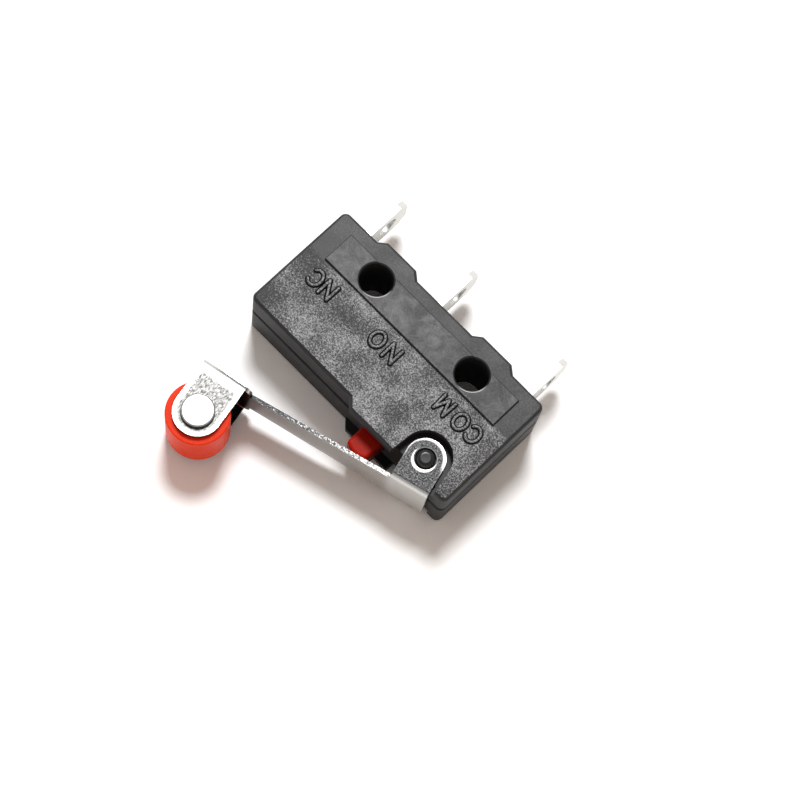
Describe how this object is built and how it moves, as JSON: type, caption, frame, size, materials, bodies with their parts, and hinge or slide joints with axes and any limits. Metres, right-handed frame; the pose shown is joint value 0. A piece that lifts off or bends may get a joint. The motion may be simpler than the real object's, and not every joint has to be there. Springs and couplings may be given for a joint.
{
  "type": "lever micro switch",
  "caption": "Sub-miniature snap-action micro switch with a folded steel lever that carries a plastic roller, a push plunger, solder tags and a screw-through housing.",
  "frame": {"origin": "middle of the two mounting holes, on the back face that the switch is screwed down by", "axes": "+X to the common terminal and the lever pivot, +Y to the terminals, +Z along the mounting holes out of the cover face"},
  "size_m": [0.0198, 0.024, 0.0064],
  "materials": {
    "housing": "spark-eroded moulded texture",
    "lever_steel": "bright, tumbled",
    "rivet_steel": "bright, plated",
    "red_plastic": "smooth moulded",
    "terminal_metal": "silver plated",
    "contact_silver": "silver alloy",
    "spring_copper": "rolled beryllium copper"
  },
  "bodies": {
    "housing": {"case": "housing", "cover": "housing", "common_terminal": "terminal_metal", "open_terminal": "terminal_metal", "closed_terminal": "terminal_metal", "open_contact": "contact_silver", "closed_contact": "contact_silver"},
    "lever": {"lever": "lever_steel", "rivet": "rivet_steel"},
    "roller": {"roller": "red_plastic"},
    "plunger": {"plunger": "red_plastic"},
    "blade": {"blade": "spring_copper", "moving_contact": "contact_silver", "snap_spring": "spring_copper"}
  },
  "joints": [
    {"name": "lever_pivot", "type": "hinge", "parent": "housing", "child": "lever", "pos_m": [0.0067, -0.00642, 0.0031], "axis": [0, 0, -1], "range_deg": [0, 13], "stiffness_Nm_per_rad": 0.012, "springref_deg": -17.19},
    {"name": "roller_spin", "type": "hinge", "parent": "lever", "child": "roller", "pos_m": [-0.00654, -0.01549, 0.0031], "axis": [0, 0, 1], "continuous": true},
    {"name": "plunger_slide", "type": "slide", "parent": "housing", "child": "plunger", "axis": [0, 1, 0], "range_m": [0, 0.00096], "deforming": ["snap_spring"]},
    {"name": "blade_rock", "type": "hinge", "parent": "housing", "child": "blade", "pos_m": [0.0049, -0.0042, 0.0031], "axis": [0, 0, -1], "range_deg": [0, 2.25]}
  ],
  "couplings": [
    {"joint": "plunger_slide", "follows": "lever_pivot", "m_per_rad": 0.004068},
    {"joint": "blade_rock", "follows": "lever_pivot", "ratio": 0.16923}
  ]
}
